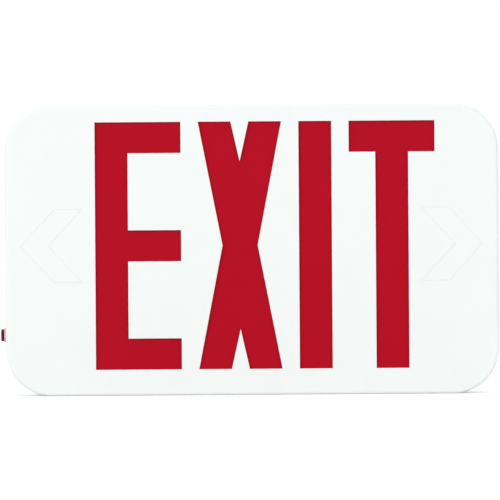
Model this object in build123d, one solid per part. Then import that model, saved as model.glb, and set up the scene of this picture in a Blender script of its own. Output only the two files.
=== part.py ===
from build123d import *
import os

# Emergency exit light: a wall-mounted thermoplastic case with a stencil front,
# a red lens behind it and the lighting, charging and battery parts inside.
# Millimetres. X to the right as the front is seen, Z up, the wall behind at Y = 0
# and the front towards -Y. The origin is the centre of the wire entry in the back.
# "Out" below is the distance from the wall, which is -Y.

# Case
depth = 45.0
corner_r = 28.0
front_edge_r = 2.0
back_edge = 1.2
wall = 2.5
plate_t = 2.0
skirt_depth = 14.0
seam_gap = 0.3
lip_t = 1.8
lip_height = 6.0
lip_root = 4.0
lip_clearance = 0.25
pry_slot_w = 12.0
pry_slot_depth = 1.4
pry_slot_x = 70.0

# Legend, cut through the front plate, and the plain margins around it
margin_left = 55.4
margin_right = 39.0
margin_top = 10.6
margin_bottom = 16.0
letter_h = 152.4
stem_w = 20.2
arm_t = 19.1
e_w = 52.9
x_w = 51.3
t_w = 52.9
letter_gap = 10.7
x_arm_w = 20.1
x_notch = 24.6
x_waist = 21.6

# Direction knock-outs, scored into the front plate
chevron_gap = 8.1
chevron_w = 17.0
chevron_reach = 20.6
chevron_half_h = 22.5
score_w = 0.5
score_t = 0.12
back_score_w = 1.0
back_score_t = 1.0

# Lens and how it is held
lens_t = 1.5
lens_edge_gap = 1.0
stake_d = 3.0
stake_head_d = 4.6
stake_head_t = 0.8
stake_inset = 6.3
stake_xs = (-108.0, 0.0, 108.0)
peg_inset = 15.5
peg_boss_d = 8.0
peg_d = 4.8
peg_length = 8.5
peg_tip = 0.6
peg_end_gap = 1.5
socket_d = 8.0
socket_bore = 5.0
hole_clearance = 0.4

# Back wall openings
wire_entry_d = 22.2
entry_collar_t = 2.4
entry_collar_h = 2.0
box_hole_spacing = 88.9
box_hole_d = 4.6
gang_hole_spacing = 83.3
gang_hole_d = 4.0
keyhole_x = 110.0
keyhole_z = 38.0
keyhole_head_d = 9.0
keyhole_slot_w = 4.6
keyhole_rise = 9.0
knockout_d = 22.2
knockout_score = 0.6
knockout_score_t = 0.5
knockout_out = 15.5

# Lighting strips
led_board_inset = 33.5
led_board_w = 10.0
led_board_t = 1.6
led_board_drop = 4.0
led_board_out = 17.0
led_rail_t = 2.0
led_rail_lip = 2.0
led_rail_over = 1.0
led_rail_inset = 8.0
led_rail_skip = 2
led_count = 10
led_end = 19.0
led_l = 3.5
led_w = 2.8
led_h = 1.9
led_rim = 0.5
led_window_t = 0.4
slot_clearance = 0.1

# Driver board
board_t = 1.6
board_corner_r = 1.0
board_edge_gap = 6.0
board_up = 23.0
standoff_h = 6.0
standoff_d = 7.0
board_hole_d = 3.4
board_hole_inset = 5.0
screw_d = 2.8
screw_pilot_d = 2.9
screw_head_d = 6.0
screw_head_h = 2.0
screw_slot_w = 0.8
screw_slot_t = 1.0
screw_bite = 4.5

# Test button on the left end
button_up = 37.2
button_out = 13.5
button_proud = 4.4
button_cap_d = 7.7
button_edge = 0.5
button_bore_d = 7.9
bezel_d = 9.0
bezel_proud = 2.4
bezel_flange_d = 11.0
bezel_flange_t = 1.0
bezel_edge = 0.2
button_shoulder_d = 9.8
button_shoulder_t = 1.0
button_stem_d = 3.6
button_travel = 1.5
switch_l = 9.0
switch_w = 9.0
switch_h = 8.0
switch_gap = 1.2
switch_edge = 0.4
switch_back_t = 1.5
plunger_end_gap = 0.3
plunger_show = 0.2
plunger_d = 3.0
indicator_d = 3.0
indicator_flange_d = 3.8
indicator_offset = 14.0
indicator_l = 9.0
indicator_flange_t = 1.0
indicator_leg_w = 0.5
indicator_leg_gap = 0.95
indicator_leg_l = 1.2

# Components on the driver board, in rows from its left and lower edges
part_gap = 3.5
close_gap = 1.0
transformer_from_left = 16.5
transformer_from_below = 19.5
board_top_margin = 5.5
core_l = 35.0
core_w = 29.0
core_stack = 10.0
core_leg = 5.8
core_window_l = 17.4
coil_build = 5.0
coil_margin = 0.2
coil_rim = 0.5
coil_r = 2.0
bobbin_flange = 1.0
bobbin_tube_t = 0.8
can_d = 10.0
can_h = 16.0
small_can_d = 8.0
small_can_h = 12.0
small_can_rise = 11.0
sink_w = 14.0
sink_h = 18.0
sink_t = 1.5
sink_fin = 6.0
sink_v = 36.0
transistor_w = 10.0
transistor_h = 15.0
transistor_t = 4.4
transistor_tab_t = 1.3
transistor_body_h = 9.0
transistor_hole_d = 3.6
transistor_lift = 3.0
terminal_gap = 2.0
terminal_v = 30.0
terminal_pitch = 5.0
terminal_count = 3
terminal_l = 10.0
terminal_h = 12.0
terminal_well_d = 3.4
terminal_wire_d = 2.8
terminal_screw_d = 3.1
terminal_screw_l = 4.5
terminal_screw_up = 5.2
terminal_screw_slot_w = 0.7
terminal_screw_slot_t = 0.9
terminal_edge = 1.5
terminal_well_up = 4.0
terminal_wire_up = 3.6
terminal_wire_l = 7.0
film_from_left = 24.0
film_v = 9.0
film_size = (18.0, 7.5, 11.0)
film_edge = 0.6
diode_d = 2.6
diode_l = 5.2
diode_count = 4
diode_pitch = 3.5
diode_v = 9.5
diode_gap = 3.0
relay_v = 10.0
relay_gap = 1.7
relay_size = (16.0, 11.0, 11.0)
relay_edge = 0.4
fuse_d = 3.0
fuse_l = 8.0
fuse_v = 15.0
fuse_gap = 3.0
resistor_d = 2.4
resistor_l = 6.3
resistor_count = 3
resistor_pitch = 3.5
resistor_v = 19.5
axial_reach = 4.6
axial_lift = 0.3
pin_w = 0.6
chip_v = 24.0
chip_gap = 2.4
chip_size = (9.6, 6.4, 3.4)
chip_edge = 0.4
chip_stand = 0.5
chip_leg_w = 1.2
chip_leg_t = 0.6
chip_leg_h = 1.9
chip_legs_a_side = 4
pin_pitch = 2.54
header_v = 14.5
header_l = 9.0
header_w = 8.0
header_h = 7.0
header_wall = 0.9
plug_proud = 6.0
plug_end_gap = 0.3
plug_collar_gap = 0.4
plug_collar_t = 2.0
plug_collar_edge = 0.6

# Battery
cell_d = 14.3
cell_l = 50.4
cell_count = 3
sleeve_waist = 12.3
battery_side_gap = 28.0
battery_up = 20.5
cradle_t = 1.6
cradle_h = 5.5
cradle_gap = 0.3
cradle_wall_l = 35.0
bracket_w = 14.0
bracket_t = 1.6
bracket_foot = 8.0
bracket_boss_h = 8.0

# Wiring
lead_d = 1.8
lead_pitch = 1.9
lead_out = 3.6
clip_w = 4.0
clip_h = 4.6
clip_t = 1.4
clip_nib = 0.5

legend_w = e_w + x_w + stem_w + t_w + 3 * letter_gap
face_w = margin_left + legend_w + margin_right
face_h = margin_top + letter_h + margin_bottom
half_w = face_w / 2
half_h = face_h / 2
inner_w = half_w - wall
inner_h = half_h - wall
seam_out = depth - skirt_depth
plate_back = depth - plate_t
lens_back = plate_back - lens_t
legend_left = -half_w + margin_left
legend_right = half_w - margin_right
legend_mid_z = (margin_bottom - margin_top) / 2
t_stem_right = legend_right - (t_w - stem_w) / 2


def out_plane(out):
    """Sketch plane at a distance from the wall, drawn as the front is seen."""
    return Plane(origin=(0, -out, 0), x_dir=(1, 0, 0), z_dir=(0, -1, 0))


def outward(sketch, start, end):
    """A sketch drawn as the front is seen, made solid from one distance out to another."""
    return extrude(out_plane(start) * sketch, amount=end - start, dir=(0, -1, 0))


def outline(inset):
    """The case outline, drawn in by an inset."""
    radius = corner_r - inset
    return RectangleRounded(face_w - 2 * inset, face_h - 2 * inset, radius)


def block(x0, x1, start, end, z0, z1):
    """A box between two X, two distances from the wall and two Z."""
    centre = Pos((x0 + x1) / 2, -(start + end) / 2, (z0 + z1) / 2)
    return centre * Box(x1 - x0, end - start, z1 - z0)


def post(x, z, diameter, start, end):
    """A round post standing out from the wall."""
    return outward(Pos(x, z) * Circle(diameter / 2), start, end)


def post_x(out, z, diameter, x0, x1):
    """A round bar along X."""
    plane = Plane(origin=(x0, -out, z), x_dir=(0, 1, 0), z_dir=(1, 0, 0))
    return extrude(plane * Circle(diameter / 2), amount=x1 - x0, dir=(1, 0, 0))


def score_ring(plane, outer_d):
    """The shallow round score of a knock-out, cut in from a sketch plane."""
    ring = Circle(outer_d / 2) - Circle(outer_d / 2 - knockout_score)
    return extrude(plane * ring, amount=-knockout_score_t)


# Legend and knock-out outlines
def letter_e(x0):
    """Letter E with its left edge at x0, centred on its own height."""
    top = letter_h / 2
    bar = arm_t
    stem = Pos(x0 + stem_w / 2, 0) * Rectangle(stem_w, letter_h)
    arms = stem
    for z in (top - bar / 2, 0, bar / 2 - top):
        arms += Pos(x0 + e_w / 2, z) * Rectangle(e_w, bar)
    return arms


def letter_x(x0):
    """Letter X, two crossing strokes with a V between them at each end."""
    top = letter_h / 2
    half = x_w / 2
    inner = half - x_arm_w
    waist = x_waist / 2
    right = [(inner, top), (half, top), (waist, 0), (half, -top), (inner, -top)]
    right.append((0, x_notch - top))
    left = [(-x, -z) for x, z in right]
    return Pos(x0 + half, 0) * make_face(Polyline(*right, *left, close=True))


def letter_t(x0):
    """Letter T, its bar across the full width."""
    bar = Pos(x0 + t_w / 2, (letter_h - arm_t) / 2) * Rectangle(t_w, arm_t)
    return bar + Pos(x0 + t_w / 2, 0) * Rectangle(stem_w, letter_h)


def legend():
    """The four letters, evenly spaced."""
    x_left = legend_left + e_w + letter_gap
    i_left = x_left + x_w + letter_gap
    t_left = i_left + stem_w + letter_gap
    letter_i = Pos(i_left + stem_w / 2, 0) * Rectangle(stem_w, letter_h)
    return [letter_e(legend_left), letter_x(x_left), letter_i, letter_t(t_left)]


def chevron_score(side, width):
    """The score line around one direction knock-out; side is 1 on the right, -1 on the left."""
    root = t_stem_right + chevron_gap if side > 0 else legend_left - chevron_gap
    tip = root + side * chevron_w
    points = [
        (root, chevron_half_h),
        (tip, chevron_half_h),
        (tip + side * chevron_reach, 0),
        (tip, -chevron_half_h),
        (root, -chevron_half_h),
        (root + side * chevron_reach, 0),
    ]
    face = make_face(Polyline(*points, close=True))
    grown = offset(face, amount=width / 2, kind=Kind.INTERSECTION)
    shrunk = offset(face, amount=-width / 2, kind=Kind.INTERSECTION)
    return Pos(0, legend_mid_z) * (grown - shrunk)


def peg_places():
    """The four corner pegs that the front cover pushes onto."""
    x = half_w - peg_inset
    z = half_h - peg_inset
    return [(x, z), (-x, z), (x, -z), (-x, -z)]


def stake_places():
    """The heat-staked posts along the top and bottom edges of the lens."""
    z = half_h - stake_inset
    return [(x, s * z) for x in stake_xs for s in (1, -1)]


# Front cover and lens
def face_cover():
    shell = outward(outline(0), seam_out + seam_gap, depth)
    front = shell.faces().sort_by(Axis.Y)[0]
    shell = fillet(front.outer_wire().edges(), front_edge_r)
    shell -= outward(outline(wall), seam_out + seam_gap, plate_back)
    for x, z in peg_places():
        shell += post(x, z, socket_d, seam_out + seam_gap, plate_back)
        shell -= post(x, z, socket_bore, seam_out + seam_gap, seam_out + peg_length + peg_end_gap)
    for x, z in stake_places():
        shell += post(x, z, stake_d, lens_back - stake_head_t, plate_back)
        shell += post(x, z, stake_head_d, lens_back - stake_head_t, lens_back)
    for letter in legend():
        shell -= outward(Pos(0, legend_mid_z) * letter, plate_back, depth)
    for side in (1, -1):
        shell -= outward(chevron_score(side, score_w), depth - score_t, depth)
        back_line = chevron_score(side, back_score_w)
        shell -= outward(back_line, plate_back, plate_back + back_score_t)
    for side in (1, -1):
        x = side * pry_slot_x
        slot = block(
            x - pry_slot_w / 2,
            x + pry_slot_w / 2,
            seam_out + seam_gap,
            seam_out + seam_gap + pry_slot_depth,
            -half_h,
            -half_h + wall,
        )
        shell -= slot
    return shell


def red_lens():
    """Die-cut sheet behind the letters, its corners clipped to pass the peg sockets."""
    sheet = outline(wall + lens_edge_gap)
    clip = 2 * (socket_d / 2 + hole_clearance + peg_inset)
    for x, z in peg_places():
        corner_x = half_w if x > 0 else -half_w
        corner_z = half_h if z > 0 else -half_h
        sheet -= Pos(corner_x, corner_z) * Rectangle(clip, clip)
    for x, z in stake_places():
        sheet -= Pos(x, z) * Circle((stake_d + hole_clearance) / 2)
    return outward(sheet, lens_back, plate_back)


# Driver board layout, each row chained from the last piece to the next
transformer_u = transformer_from_left + core_l / 2
transformer_v = transformer_from_below + core_w / 2
can_u = transformer_from_left + core_l + part_gap + can_d / 2
sink_u = can_u + can_d / 2 + close_gap + sink_w / 2
resistor_u = can_u
resistor_reach = (resistor_l + axial_reach + pin_w) / 2
chip_u = resistor_u + resistor_reach + chip_gap + chip_size[0] / 2
film_u = film_from_left + film_size[0] / 2
diode_u = film_from_left + film_size[0] + diode_gap
diode_end = diode_u + (diode_count - 1) * diode_pitch + diode_d / 2
relay_u = diode_end + relay_gap + relay_size[0] / 2
fuse_u = relay_u + relay_size[0] / 2 + fuse_gap + fuse_d / 2
upper_row_end = sink_u + sink_w / 2 + terminal_gap + terminal_l
lower_row_end = fuse_u + fuse_d / 2 + close_gap + header_l
board_w = max(upper_row_end, lower_row_end)
board_h = transformer_from_below + core_w + board_top_margin

# Back housing
board_left = -inner_w + board_edge_gap
board_bottom = -half_h + board_up
board_back = wall + standoff_h
board_front = board_back + board_t
button_z = -half_h + button_up
led_z = inner_h - led_board_drop
led_inner_z = led_z - led_board_t
led_board_l = face_w - 2 * led_board_inset
led_pitch = (led_board_l - 2 * led_end) / (led_count - 1)
led_rail_end = led_board_l / 2 - led_rail_inset
led_rail_xs = (
    -led_rail_end,
    -led_rail_skip * led_pitch,
    led_rail_skip * led_pitch,
    led_rail_end,
)
battery_w = cell_l
battery_h = cell_d * cell_count
battery_x = inner_w - battery_side_gap - battery_w / 2
battery_z = -half_h + battery_up + battery_h / 2
bracket_screw_dz = battery_h / 2 + cradle_gap + cradle_t + bracket_foot / 2


def on_board(u, v):
    """A place on the driver board, from its lower left corner."""
    return board_left + u, board_bottom + v


def board_holes():
    near = board_hole_inset
    return [
        on_board(u, v)
        for u in (near, board_w - near)
        for v in (near, board_h - near)
    ]


def bracket_holes():
    return [(battery_x, battery_z + s * bracket_screw_dz) for s in (1, -1)]


def keyhole(x):
    """A keyhole slot that drops over a wall screw."""
    head = Circle(keyhole_head_d / 2)
    slot = Pos(0, keyhole_rise / 2) * Rectangle(keyhole_slot_w, keyhole_rise)
    top = Pos(0, keyhole_rise) * Circle(keyhole_slot_w / 2)
    return Pos(x, keyhole_z) * (head + slot + top)


def led_rail(x, side):
    """One slotted rail that carries a lighting strip; side is 1 above, -1 below."""
    top = inner_h + wall / 2
    low = led_inner_z - led_rail_lip
    rail_out = led_board_out + led_board_w + led_rail_over
    rail = block(x - led_rail_t / 2, x + led_rail_t / 2, wall / 2, rail_out, low, top)
    slot = block(
        x - led_rail_t,
        x + led_rail_t,
        led_board_out - slot_clearance,
        rail_out + led_rail_over,
        led_inner_z - slot_clearance,
        led_z + slot_clearance,
    )
    rail -= slot
    return rail if side > 0 else mirror(rail, about=Plane.XY)


def wire_clip(x, z, along_x):
    """Two moulded fingers that hold a pair of leads against the back wall."""
    reach = lead_pitch / 2 + lead_d / 2 + slot_clearance
    foot = Rectangle(clip_t, clip_h + wall / 2, align=(Align.MIN, Align.MIN))
    nib = Pos(-clip_nib, clip_h - clip_nib) * Rectangle(
        clip_t + clip_nib, wall / 2 + clip_nib, align=(Align.MIN, Align.MIN)
    )
    finger = Pos(reach, 0) * (foot + nib)
    pair = finger + mirror(finger, about=Plane.YZ)
    if along_x:
        plane = Plane(origin=(x, -wall / 2, z), x_dir=(0, 0, 1), z_dir=(1, 0, 0))
    else:
        plane = Plane(origin=(x, -wall / 2, z), x_dir=(1, 0, 0), z_dir=(0, 0, -1))
    return extrude(plane * pair, amount=clip_w / 2, both=True)


def cradle():
    """Low moulded walls around the battery pack, open at the corners."""
    w = battery_w / 2 + cradle_gap
    h = battery_h / 2 + cradle_gap
    outer = Rectangle(2 * (w + cradle_t), 2 * (h + cradle_t))
    ring = outer - Rectangle(2 * w, 2 * h)
    ring -= Rectangle(battery_w, 4 * h)
    ring += Pos(0, h + cradle_t / 2) * Rectangle(cradle_wall_l, cradle_t)
    ring += Pos(0, -h - cradle_t / 2) * Rectangle(cradle_wall_l, cradle_t)
    return outward(Pos(battery_x, battery_z) * ring, wall / 2, wall + cradle_h)


def battery_lead_z():
    return board_bottom + header_v


def back_housing():
    tray = outward(outline(0), 0, seam_out)
    back = tray.faces().sort_by(Axis.Y)[-1]
    tray = chamfer(back.outer_wire().edges(), back_edge)
    tray -= outward(outline(wall), wall, seam_out)
    lip_ring = outline(wall) - outline(wall + lip_clearance + lip_t)
    tray += outward(lip_ring, seam_out - lip_root, seam_out)
    lip_top = outline(wall + lip_clearance) - outline(wall + lip_clearance + lip_t)
    tray += outward(lip_top, seam_out, seam_out + lip_height)
    for x, z in peg_places():
        tray += post(x, z, peg_boss_d, wall / 2, seam_out)
        peg = post(x, z, peg_d, seam_out, seam_out + peg_length)
        tip = peg.faces().sort_by(Axis.Y)[0]
        tray += chamfer(tip.edges(), peg_tip)
    tray += post(0, 0, wire_entry_d + 2 * entry_collar_t, wall / 2, wall + entry_collar_h)
    for x, z in board_holes():
        tray += post(x, z, standoff_d, wall / 2, board_back)
    for x, z in bracket_holes():
        tray += post(x, z, standoff_d, wall / 2, wall + bracket_boss_h)
    tray += cradle()
    for x in led_rail_xs:
        tray += led_rail(x, 1)
        tray += led_rail(x, -1)
    for x, z, along_x in clip_places():
        tray += wire_clip(x, z, along_x)
    tray -= post(0, 0, wire_entry_d, 0, wall + entry_collar_h)
    for s in (1, -1):
        tray -= post(s * box_hole_spacing / 2, 0, box_hole_d, 0, wall)
        tray -= post(0, s * gang_hole_spacing / 2, gang_hole_d, 0, wall)
        tray -= outward(keyhole(s * keyhole_x), 0, wall)
    for x, z in board_holes():
        tray -= post(x, z, screw_pilot_d, wall, board_back)
    for x, z in bracket_holes():
        tray -= post(x, z, screw_pilot_d, wall, wall + bracket_boss_h)
    tray -= post_x(button_out, button_z, bezel_d + 2 * slot_clearance, -half_w, -inner_w)
    indicator_hole = indicator_d + 2 * slot_clearance
    tray -= post_x(button_out, indicator_z, indicator_hole, -half_w, -inner_w)
    top = Plane(origin=(0, -knockout_out, half_h), x_dir=(1, 0, 0), z_dir=(0, 0, 1))
    tray -= score_ring(top, knockout_d)
    for s in (1, -1):
        end = Plane(origin=(s * half_w, -knockout_out, 0), x_dir=(0, 1, 0), z_dir=(s, 0, 0))
        tray -= score_ring(end, knockout_d)
    return tray


# Test button, its bezel, the switch behind it and the charging light
indicator_z = button_z + indicator_offset
bezel_inner_x = -inner_w + bezel_flange_t
shoulder_x = bezel_inner_x + slot_clearance
switch_face_x = shoulder_x + button_shoulder_t + button_travel + switch_gap


def button_bezel():
    sleeve = post_x(button_out, button_z, bezel_d, -half_w - bezel_proud, -inner_w)
    sleeve += post_x(button_out, button_z, bezel_flange_d, -inner_w, bezel_inner_x)
    rim = sleeve.faces().sort_by(Axis.X)[0]
    sleeve = chamfer(rim.edges(), bezel_edge)
    sleeve -= post_x(
        button_out, button_z, button_bore_d, -half_w - bezel_proud, bezel_inner_x
    )
    return sleeve


def test_button():
    cap = post_x(button_out, button_z, button_cap_d, -half_w - button_proud, shoulder_x)
    tip = cap.faces().sort_by(Axis.X)[0]
    cap = chamfer(tip.edges(), button_edge)
    shoulder_end = shoulder_x + button_shoulder_t
    cap += post_x(button_out, button_z, button_shoulder_d, shoulder_x, shoulder_end)
    cap += post_x(button_out, button_z, button_stem_d, shoulder_end, plunger_tip_x)
    return cap


plunger_tip_x = switch_face_x - button_travel - plunger_show
switch_rear_x = switch_face_x + switch_l


def test_switch_body():
    case = block(
        switch_face_x,
        switch_rear_x,
        board_front,
        board_front + switch_h,
        button_z - switch_w / 2,
        button_z + switch_w / 2,
    )
    case = chamfer(case.edges().filter_by(Axis.X), switch_edge)
    bore = plunger_d + 2 * slot_clearance
    case -= post_x(button_out, button_z, bore, switch_face_x, switch_rear_x - switch_back_t)
    return case


def test_switch_plunger():
    end = switch_rear_x - switch_back_t - button_travel - plunger_end_gap
    return post_x(button_out, button_z, plunger_d, plunger_tip_x, end)


def charge_indicator():
    inner = -half_w + indicator_l
    body = post_x(button_out, indicator_z, indicator_d, -half_w, inner)
    flange = inner - indicator_flange_t
    body += post_x(button_out, indicator_z, indicator_flange_d, flange, inner)
    leg_end = inner + indicator_leg_l
    half = indicator_leg_w / 2
    for s in (1, -1):
        low = indicator_z + s * indicator_leg_gap / 2 - half
        high = low + indicator_leg_w
        body += block(flange, leg_end, button_out - half, button_out + half, low, high)
        bend = leg_end - indicator_leg_w
        body += block(bend, leg_end, board_front, button_out + half, low, high)
    return body


# Driver board and what stands on it
def driver_board():
    x, z = on_board(board_w / 2, board_h / 2)
    blank = Pos(x, z) * RectangleRounded(board_w, board_h, board_corner_r)
    sheet = outward(blank, board_back, board_front)
    for hole_x, hole_z in board_holes():
        sheet -= post(hole_x, hole_z, board_hole_d, board_back, board_front)
    return sheet


def pan_screw(x, z, seat):
    """A slotted pan-head screw, its head on a seat and its shank back into a pilot hole."""
    screw = post(x, z, screw_head_d, seat, seat + screw_head_h)
    screw += post(x, z, screw_d, seat - screw_bite, seat)
    slot_start = seat + screw_head_h - screw_slot_t
    half = screw_slot_w / 2
    wide = screw_head_d
    screw -= block(x - wide, x + wide, slot_start, slot_start + wide, z - half, z + half)
    return screw


def board_screws():
    return [pan_screw(x, z, board_front) for x, z in board_holes()]


def transformer_core():
    """Stacked E and I laminations, with a window on each side of the middle leg."""
    plate = Rectangle(core_l, core_w)
    window = core_leg
    middle = core_l - 2 * core_leg - 2 * window
    for s in (1, -1):
        plate -= Pos(s * (middle + window) / 2, 0) * Rectangle(window, core_window_l)
    x, z = on_board(transformer_u, transformer_v)
    start = board_front + coil_build + coil_margin
    return outward(Pos(x, z) * plate, start, start + core_stack)


def around_leg(gap):
    """The middle leg's section with a gap added all round."""
    return Rectangle(core_l - 4 * core_leg + 2 * gap, core_stack + 2 * gap)


def coil_outline(inset):
    """Outside of the coil, in the plane that the winding turns in."""
    wide = core_l - 2 * core_leg - 2 * coil_margin - 2 * inset
    high = core_stack + 2 * coil_build - 2 * inset
    return RectangleRounded(wide, high, coil_r)


def coil_ring(section, z0, z1):
    x, z = on_board(transformer_u, transformer_v)
    middle_out = board_front + coil_build + coil_margin + core_stack / 2
    plane = Plane(origin=(x, -middle_out, z + z0), x_dir=(1, 0, 0), z_dir=(0, 0, 1))
    return extrude(plane * section, amount=z1 - z0)


def transformer_bobbin():
    half = core_window_l / 2 - coil_margin
    flange = coil_outline(0) - around_leg(coil_margin)
    tube = around_leg(coil_margin + bobbin_tube_t) - around_leg(coil_margin)
    body = coil_ring(flange, -half, bobbin_flange - half)
    body += coil_ring(flange, half - bobbin_flange, half)
    body += coil_ring(tube, -half, half)
    return body


def transformer_winding():
    half = core_window_l / 2 - coil_margin - bobbin_flange
    section = coil_outline(coil_rim) - around_leg(coil_margin + bobbin_tube_t)
    return coil_ring(section, -half, half)


def electrolytic_capacitors():
    top_v = board_h - can_d
    places = [
        (can_u, top_v, can_d, can_h),
        (can_u, top_v - can_d - close_gap, can_d, can_h),
        (sink_u, sink_v + small_can_rise, small_can_d, small_can_h),
    ]
    cans = []
    for u, v, diameter, height in places:
        x, z = on_board(u, v)
        cans.append(post(x, z, diameter, board_front, board_front + height))
    return cans


def boxed(u, v, size, edge):
    """A moulded component case standing on the board."""
    x, z = on_board(u, v)
    wide, deep, high = size
    case = block(
        x - wide / 2, x + wide / 2, board_front, board_front + high, z - deep / 2, z + deep / 2
    )
    front = case.faces().sort_by(Axis.Y)[0]
    return chamfer(front.edges(), edge)


def axial_part(u, v, diameter, length, along_u):
    """A round component lying on the board on two bent pins."""
    x, z = on_board(u, v)
    lift = board_front + diameter / 2 + axial_lift
    body = post_x(lift, z, diameter, x - length / 2, x + length / 2)
    half = pin_w / 2
    for s in (1, -1):
        tip = x + s * (length / 2 + axial_reach / 2)
        near = min(x, tip + s * half)
        far = max(x, tip + s * half)
        body += block(near, far, lift - half, lift + half, z - half, z + half)
        body += block(tip - half, tip + half, board_front, lift + half, z - half, z + half)
    if not along_u:
        body = body.rotate(Axis((x, 0, z), (0, 1, 0)), 90)
    return body


def rectifier_diodes():
    us = [diode_u + index * diode_pitch for index in range(diode_count)]
    return [axial_part(u, diode_v, diode_d, diode_l, False) for u in us]


def resistors():
    vs = [resistor_v + index * resistor_pitch for index in range(resistor_count)]
    return [axial_part(resistor_u, v, resistor_d, resistor_l, True) for v in vs]


def fuse():
    return axial_part(fuse_u, fuse_v, fuse_d, fuse_l, False)


def control_chip():
    """Dual in-line chip on eight bent legs."""
    x, z = on_board(chip_u, chip_v)
    wide, deep, chip_h = chip_size
    stand = board_front + chip_stand
    top = board_front + chip_h
    case = block(x - wide / 2, x + wide / 2, stand, top, z - deep / 2, z + deep / 2)
    case = chamfer(case.edges().filter_by(Axis.X), chip_edge)
    half = chip_leg_w / 2
    for index in range(chip_legs_a_side):
        leg_x = x + (index - (chip_legs_a_side - 1) / 2) * pin_pitch
        for s in (1, -1):
            z0, z1 = sorted((z + s * deep / 2, z + s * (deep / 2 + chip_leg_t)))
            leg_top = board_front + chip_leg_h
            case += block(leg_x - half, leg_x + half, board_front, leg_top, z0, z1)
    return case


def heat_sink():
    """Folded aluminium plate with a wing on each side."""
    x, z = on_board(sink_u, sink_v)
    half = sink_w / 2
    wings = Pos(x, z + sink_t / 2) * Rectangle(sink_w, sink_t)
    for s in (1, -1):
        wings += Pos(x + s * (half - sink_t / 2), z + sink_fin / 2) * Rectangle(sink_t, sink_fin)
    return outward(wings, board_front, board_front + sink_h)


def power_transistor():
    """Tab transistor against the heat sink, on three legs."""
    x, z = on_board(sink_u, sink_v)
    stand = board_front + transistor_lift
    top = stand + transistor_h - close_gap
    half = transistor_w / 2
    tab_z = z - transistor_tab_t
    case = block(x - half, x + half, stand, stand + transistor_body_h, z - transistor_t, tab_z)
    case += block(x - half, x + half, stand, top, tab_z, z)
    hole_out = (stand + transistor_body_h + top) / 2
    plane = Plane(origin=(x, -hole_out, z), x_dir=(1, 0, 0), z_dir=(0, 0, 1))
    case -= extrude(plane * Circle(transistor_hole_d / 2), amount=2 * transistor_tab_t, both=True)
    leg = pin_w * 2 / 3
    for index in (-1, 0, 1):
        leg_x = x + index * pin_pitch
        leg_z = z - transistor_t / 2
        case += block(leg_x - leg, leg_x + leg, board_front, stand, leg_z - leg, leg_z)
    return case


def terminal_wells():
    first = terminal_v - (terminal_count - 1) * terminal_pitch / 2
    return [first + index * terminal_pitch for index in range(terminal_count)]


terminal_u = board_w - terminal_l / 2
terminal_screw_u = terminal_u - close_gap


def terminal_block():
    """Supply terminals: a wire hole to the right and a screw well in front of each."""
    x, z = on_board(terminal_u, terminal_v)
    half = terminal_count * terminal_pitch / 2
    top = board_front + terminal_h
    case = block(x - terminal_l / 2, x + terminal_l / 2, board_front, top, z - half, z + half)
    long_edges = case.edges().filter_by(Axis.Z).sort_by(Axis.Y)[:2]
    case = chamfer(long_edges, terminal_edge)
    for v in terminal_wells():
        well_x, well_z = on_board(terminal_screw_u, v)
        case -= post(well_x, well_z, terminal_well_d, board_front + terminal_well_up, top)
        wire_out = board_front + terminal_wire_up
        wire_stop = x + terminal_l / 2 - terminal_wire_l
        case -= post_x(wire_out, well_z, terminal_wire_d, wire_stop, x + terminal_l / 2)
    return case


def terminal_screws():
    screws = []
    for v in terminal_wells():
        x, z = on_board(terminal_screw_u, v)
        seat = board_front + terminal_screw_up
        top = seat + terminal_screw_l
        screw = post(x, z, terminal_screw_d, seat, top)
        wide = terminal_screw_d
        half = terminal_screw_slot_w / 2
        slot_start = top - terminal_screw_slot_t
        screw -= block(x - wide, x + wide, slot_start, top, z - half, z + half)
        screws.append(screw)
    return screws


header_x1 = board_left + board_w
header_x0 = header_x1 - header_l
header_mid = board_front + header_h / 2


def battery_header():
    """Open-ended shroud, facing right."""
    z = board_bottom + header_v
    half = header_w / 2
    shell = block(header_x0, header_x1, board_front, board_front + header_h, z - half, z + half)
    shell -= block(
        header_x0 + header_wall,
        header_x1,
        board_front + header_wall,
        board_front + header_h - header_wall,
        z - half + header_wall,
        z + half - header_wall,
    )
    return shell


def battery_plug():
    """Plug pushed into the shroud, with a grip collar outside it."""
    z = board_bottom + header_v
    gap = header_wall + 2 * slot_clearance
    body = block(
        header_x0 + header_wall + plug_end_gap,
        header_x1 + plug_proud,
        board_front + gap,
        board_front + header_h - gap,
        z - header_w / 2 + gap,
        z + header_w / 2 - gap,
    )
    collar = block(
        header_x1 + plug_collar_gap,
        header_x1 + plug_collar_gap + plug_collar_t,
        board_front + slot_clearance,
        board_front + header_h,
        z - header_w / 2,
        z + header_w / 2,
    )
    return body + chamfer(collar.edges().filter_by(Axis.X), plug_collar_edge)


# Battery pack and bracket
def battery_pack():
    """Three cells side by side in one shrink sleeve."""
    section = Sketch()
    for index in range(cell_count):
        z = (index - (cell_count - 1) / 2) * cell_d
        section += Pos(0, z) * Circle(cell_d / 2)
    section += Rectangle(sleeve_waist, battery_h - cell_d)
    start_x = battery_x - battery_w / 2
    plane = Plane(
        origin=(start_x, -(wall + cell_d / 2), battery_z), x_dir=(0, 1, 0), z_dir=(1, 0, 0)
    )
    return extrude(plane * section, amount=battery_w)


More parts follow.
